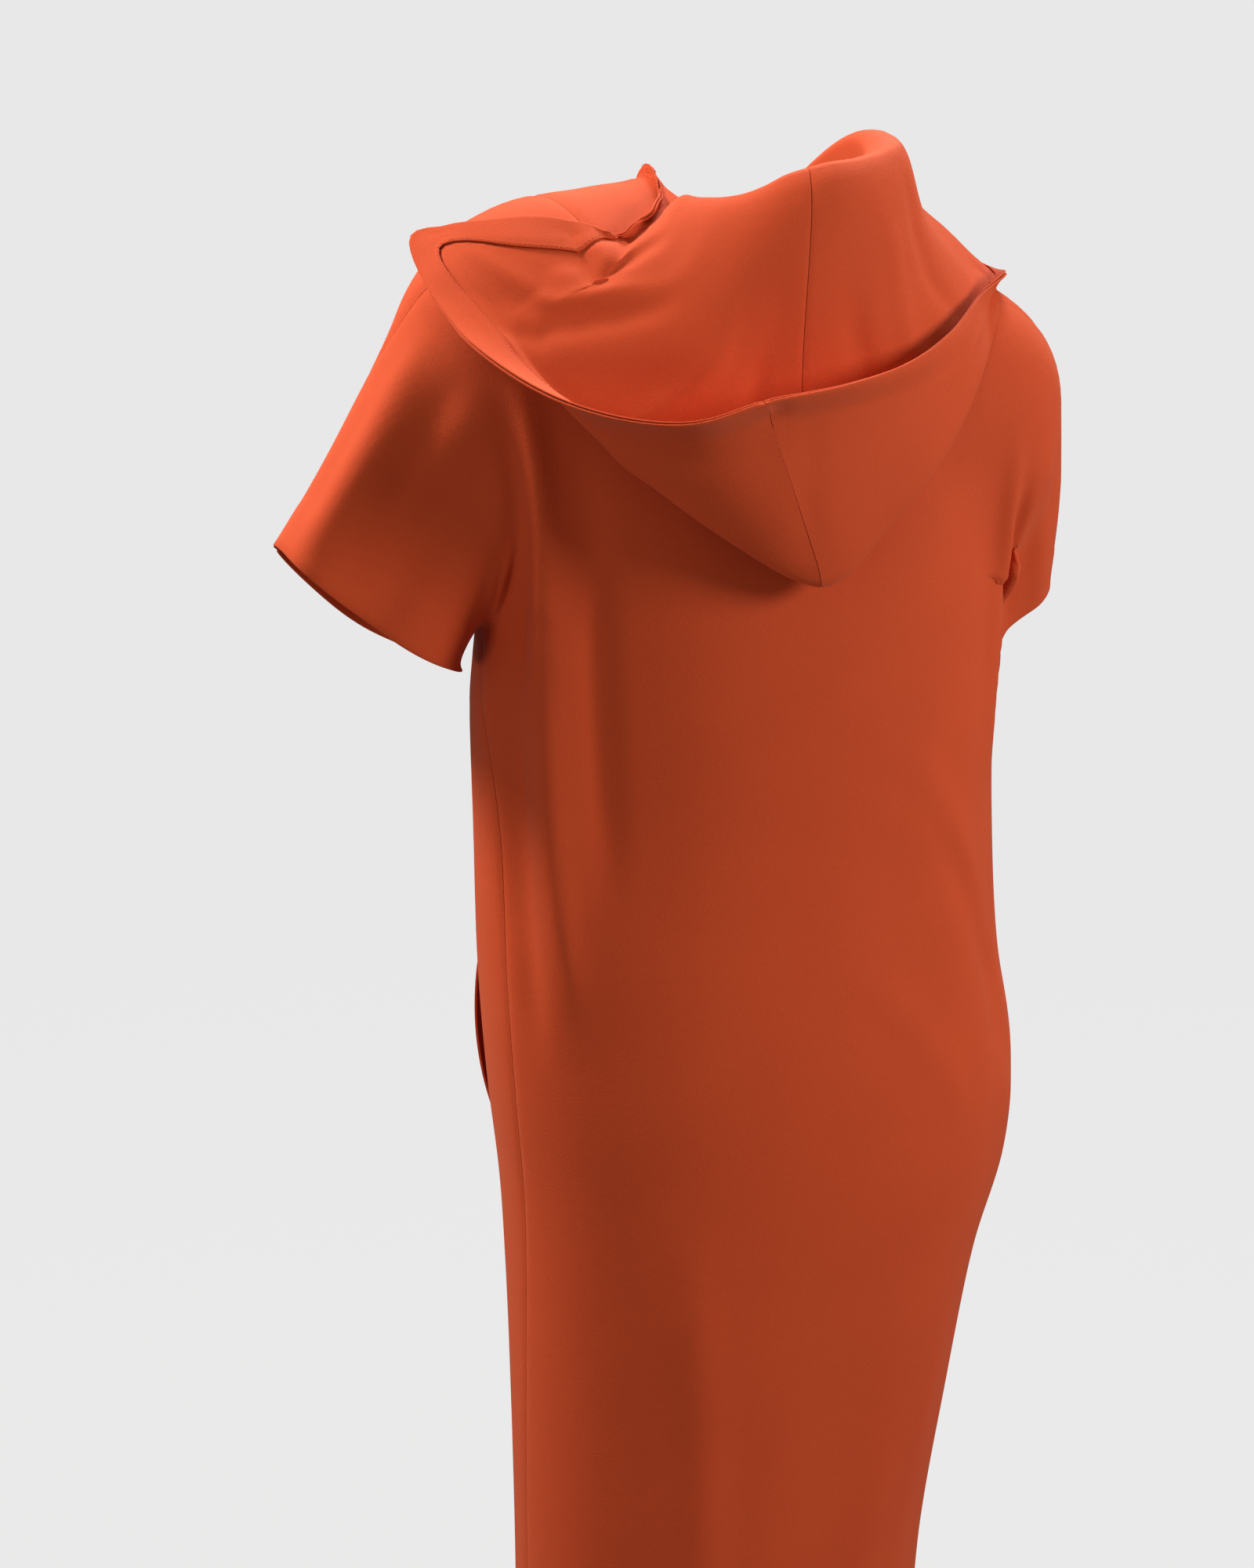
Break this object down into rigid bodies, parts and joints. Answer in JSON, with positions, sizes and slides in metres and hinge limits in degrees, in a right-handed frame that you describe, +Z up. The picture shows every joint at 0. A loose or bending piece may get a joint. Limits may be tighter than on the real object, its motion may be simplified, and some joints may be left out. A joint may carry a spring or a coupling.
{
  "type": "hoodie dress",
  "caption": "Worn column dress in smooth burnt-orange crepe, with short grown-on sleeves, hip pockets in the princess seams and a wide hood laid down on the back.",
  "frame": {"origin": "middle of the neck opening at shoulder height, where the shoulders carry the dress", "axes": "+Z up, +Y towards the back of the dress, +X towards its own left side"},
  "size_m": [0.5646, 0.3108, 1.2604],
  "materials": {
    "crepe": "matte, smooth crepe with a soft sheen",
    "crepe_casing": "matte crepe, turned casing",
    "pocketing": "matte self cloth inside the pocket"
  },
  "bodies": {
    "root": {"back": "crepe", "front": "crepe", "front_side_left": "crepe", "front_side_right": "crepe", "pocket_left": "pocketing", "pocket_right": "pocketing", "hood_left": "crepe", "hood_right": "crepe", "hood_casing_left": "crepe_casing", "hood_casing_right": "crepe_casing"}
  },
  "joints": []
}
